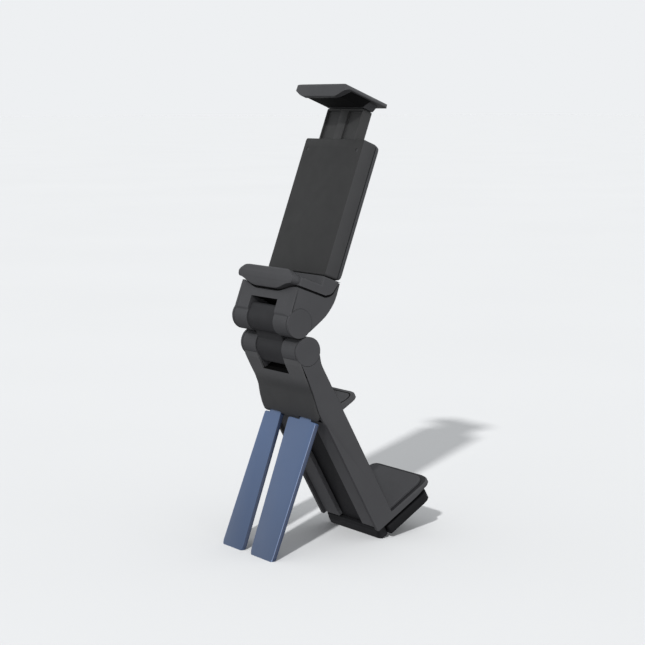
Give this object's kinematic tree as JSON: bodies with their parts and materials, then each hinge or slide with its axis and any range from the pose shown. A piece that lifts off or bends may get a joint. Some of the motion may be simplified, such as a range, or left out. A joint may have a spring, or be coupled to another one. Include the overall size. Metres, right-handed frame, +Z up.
{
  "type": "folding travel phone stand",
  "caption": "Leaning arm with fold-out legs and a spring clip at its foot, carrying a telescoping phone clamp on a two-axis friction hinge.",
  "frame": {"origin": "centre of the bounding box, on the ground the stand's feet rest on", "axes": "+X right as the phone's viewer sees it, +Y to the back, +Z up; the hinge axes are along X"},
  "size_m": [0.041, 0.0884, 0.1996],
  "materials": {
    "charcoal": "fine matt moulded texture",
    "black": "matt moulded",
    "slate": "smooth satin",
    "rubber": "matt",
    "steel": "bright",
    "acetal": "smooth"
  },
  "bodies": {
    "arm": {"arm_shell": "charcoal", "chin_cover": "charcoal", "front_cover": "charcoal", "shelf_pad": "rubber", "lower_hinge_pin": "steel", "lower_cap_left": "charcoal", "lower_cap_right": "charcoal", "lower_washer_left": "acetal", "lower_washer_right": "acetal", "arm_screw_1": "steel", "arm_screw_2": "steel", "leg_pin": "steel", "leg_detent_strip": "steel", "clip_spring_left": "steel", "clip_spring_right": "steel"},
    "link": {"link": "charcoal"},
    "head": {"head_shell": "charcoal", "neck_gasket": "black", "lower_jaw": "charcoal", "lower_jaw_pad": "rubber", "clamp_housing": "charcoal", "clamp_back_cover": "charcoal", "detent_strip": "steel", "slide_stop_screw": "steel", "upper_hinge_pin": "steel", "upper_cap_left": "charcoal", "upper_cap_right": "charcoal", "upper_washer_left": "acetal", "upper_washer_right": "acetal", "cover_screw_1": "steel", "cover_screw_2": "steel", "cover_screw_3": "steel", "cover_screw_4": "steel"},
    "slide": {"slide_bar": "charcoal", "top_jaw": "charcoal", "top_jaw_pad": "rubber"},
    "leg_left": {"leg_left": "slate"},
    "leg_right": {"leg_right": "slate"},
    "clip": {"clip_rail": "black", "clip_tab": "charcoal", "clip_foot": "charcoal", "clip_jaw": "black", "clip_jaw_pad": "rubber"}
  },
  "joints": [
    {"name": "lower_hinge", "type": "hinge", "parent": "arm", "child": "link", "pos_m": [0, -0.02605, 0.0882], "axis": [1, 0, 0], "range_deg": [-60, 80]},
    {"name": "upper_hinge", "type": "hinge", "parent": "link", "child": "head", "pos_m": [0, -0.03055, 0.1004], "axis": [1, 0, 0], "range_deg": [-30, 95]},
    {"name": "clamp_slide", "type": "slide", "parent": "head", "child": "slide", "axis": [0, 0.3543, 0.9351], "range_m": [-0.012, 0.012]},
    {"name": "leg_left_fold", "type": "hinge", "parent": "arm", "child": "leg_left", "pos_m": [0, -0.01862, 0.05952], "axis": [1, 0, 0], "range_deg": [0, 51.6]},
    {"name": "leg_right_fold", "type": "hinge", "parent": "arm", "child": "leg_right", "pos_m": [0, -0.01862, 0.05952], "axis": [1, 0, 0], "range_deg": [0, 51.6]},
    {"name": "clip_slide", "type": "slide", "parent": "arm", "child": "clip", "axis": [0, 0.4879, -0.8729], "range_m": [0, 0.03], "stiffness_N_per_m": 500, "springref_m": -0.008, "deforming": ["clip_spring_left", "clip_spring_right"]}
  ]
}
